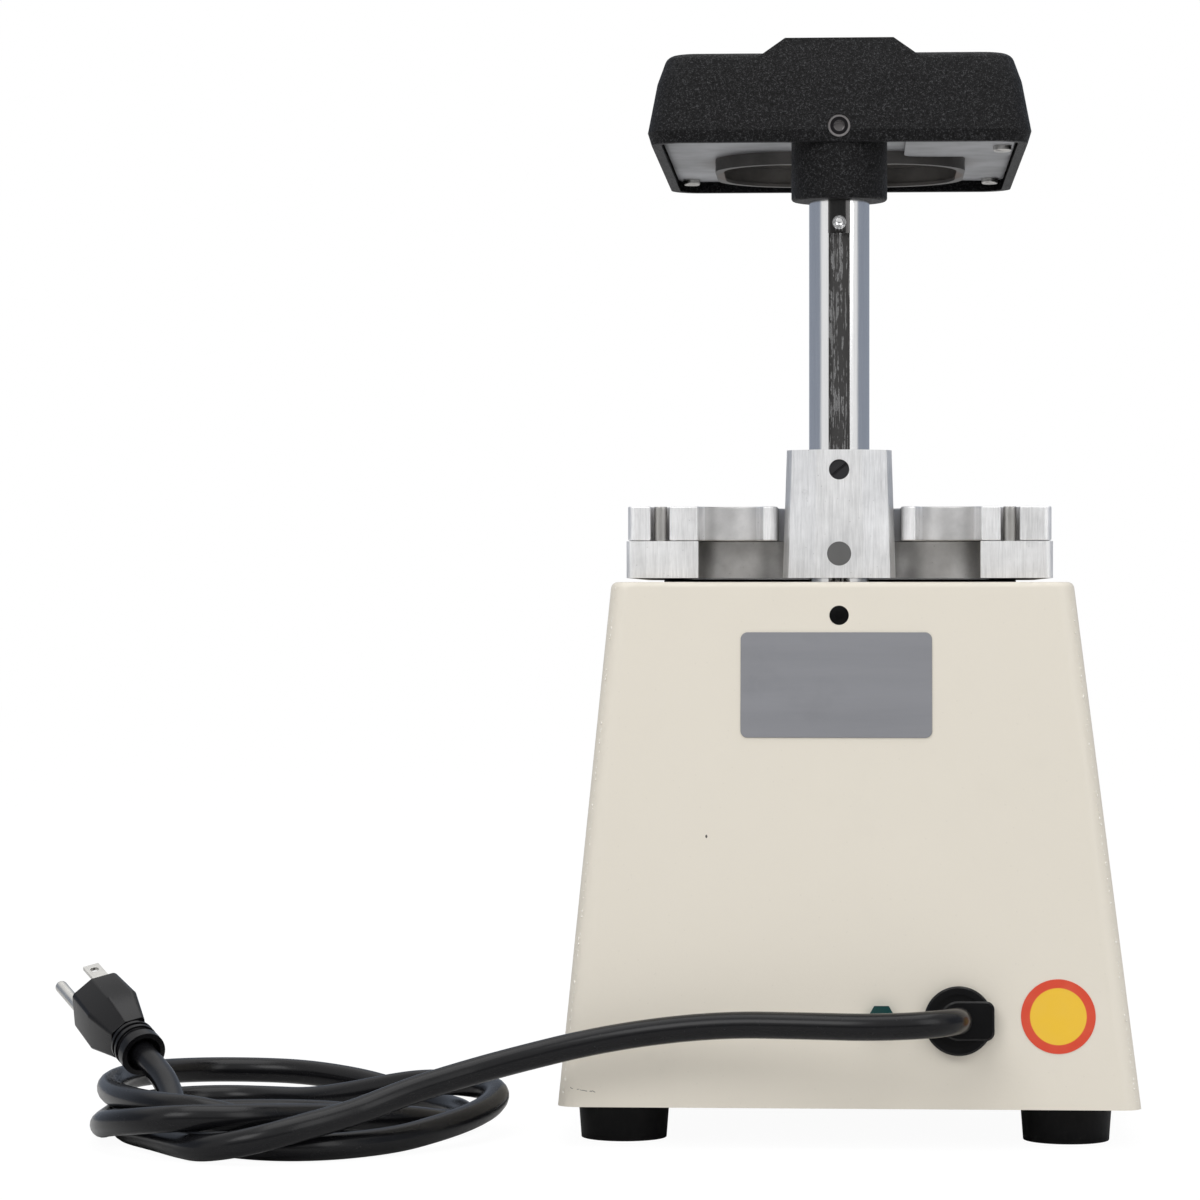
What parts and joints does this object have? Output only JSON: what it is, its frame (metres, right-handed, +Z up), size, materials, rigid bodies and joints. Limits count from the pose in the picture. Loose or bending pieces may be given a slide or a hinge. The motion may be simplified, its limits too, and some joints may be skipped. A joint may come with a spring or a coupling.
{
  "type": "dental vacuum former",
  "caption": "Bench vacuum former for dental sheets: tapered base with vacuum motor, upright post, sliding sheet frames and a heater head above.",
  "frame": {"origin": "on the surface it stands on, under the middle of the housing's bottom edge", "axes": "+Z up, +Y towards the post and the cord, -Y towards the user and the switches, +X to the user's right"},
  "size_m": [0.4085, 0.323, 0.3994],
  "materials": {
    "cream_enamel": "smooth powder coat",
    "plated_sheet": "zinc plated",
    "black_oxide": "black oxide",
    "pin_steel": "dulled steel",
    "steel": "bright steel",
    "black_rubber": "matt",
    "post_chrome": "polished plate",
    "cast_aluminium": "linished casting",
    "black_casting": "wrinkle finish",
    "reflector_sheet": "satin sheet",
    "porcelain": "unglazed ceramic",
    "heating_wire": "oxidised",
    "lead_sleeve": "woven sleeve",
    "panel_black": "satin black",
    "switch_black": "satin",
    "label_grey": "satin",
    "sticker_orange": "plain vinyl",
    "earth_green": "green",
    "relief_black": "gloss",
    "knob_black": "gloss",
    "cord_black": "satin jacket",
    "pin_metal": "nickel",
    "iron_core": "laminated"
  },
  "bodies": {
    "base": {"base_housing": "cream_enamel", "bottom_cover": "plated_sheet", "cover_screws": "steel", "rubber_feet": "black_rubber", "foot_screws": "steel", "post": "post_chrome", "post_socket": "cast_aluminium", "socket_screws": "steel", "post_set_screw": "black_oxide", "forming_plate": "cast_aluminium", "plate_gasket": "black_rubber", "vacuum_chamber": "plated_sheet", "fan_seal": "black_rubber", "fan_housing": "plated_sheet", "motor_plate": "plated_sheet", "motor_screws": "steel", "motor_frame": "plated_sheet", "field_core": "iron_core", "motor_bearings": "steel", "brush_holders": "switch_black", "heater_head": "black_casting", "head_set_screw": "black_oxide", "reflector_plate": "reflector_sheet", "reflector_screws": "steel", "heater_ring": "reflector_sheet", "heater_ceramic": "porcelain", "heater_element": "heating_wire", "terminal_cover": "reflector_sheet", "heater_terminals": "porcelain", "heater_leads": "lead_sleeve", "front_panel": "panel_black", "switch_bodies": "switch_black", "nameplate": "label_grey", "round_sticker": "sticker_orange", "ground_screw": "earth_green", "strain_relief": "relief_black", "terminal_block": "switch_black", "inner_lead": "cord_black", "inner_wiring": "lead_sleeve", "power_cord": "cord_black", "cord_coil": "cord_black", "cord_tail": "cord_black", "plug_body": "cord_black", "plug_pins": "pin_metal"},
    "rotor": {"motor_shaft": "steel", "armature": "iron_core", "commutator": "pin_metal", "fan_impeller": "cast_aluminium"},
    "carriage": {"lower_frame": "cast_aluminium", "key_pin": "pin_steel", "ball_plunger": "black_oxide", "plunger_spring": "steel", "frame_studs": "steel", "knob_stud": "steel", "lift_knob": "knob_black"},
    "detent": {"detent_ball": "steel"},
    "clamp_frame": {"upper_frame": "cast_aluminium"},
    "thumb": {"thumb_screw": "steel"},
    "heater_switch_rocker": {"heater_rocker": "switch_black"},
    "motor_switch_rocker": {"motor_rocker": "switch_black"}
  },
  "joints": [
    {"name": "carriage_slide", "type": "slide", "parent": "base", "child": "carriage", "axis": [0, 0, 1], "range_m": [0, 0.09]},
    {"name": "upper_frame_tilt", "type": "hinge", "parent": "carriage", "child": "clamp_frame", "pos_m": [0.0034, 0.096, 0.2166], "axis": [1, 0, 0], "range_deg": [-10, 0]},
    {"name": "thumb_screw_turn", "type": "hinge", "parent": "clamp_frame", "child": "thumb", "pos_m": [0.0034, -0.099, 0.222], "axis": [0, 0, 1], "continuous": true},
    {"name": "detent_ball_press", "type": "slide", "parent": "carriage", "child": "detent", "axis": [0, 1, 0], "range_m": [0, 0.0018], "stiffness_N_per_m": 1500, "springref_m": -0.002, "deforming": ["plunger_spring"]},
    {"name": "heater_switch", "type": "hinge", "parent": "base", "child": "heater_switch_rocker", "pos_m": [-0.03, -0.11048, 0.10811], "axis": [1, 0, 0], "range_deg": [-24, 0]},
    {"name": "motor_switch", "type": "hinge", "parent": "base", "child": "motor_switch_rocker", "pos_m": [0.03, -0.11048, 0.10811], "axis": [1, 0, 0], "range_deg": [-24, 0]},
    {"name": "motor_spin", "type": "hinge", "parent": "base", "child": "rotor", "pos_m": [0.0034, -0.02, 0.11], "axis": [0, 0, 1], "continuous": true}
  ]
}
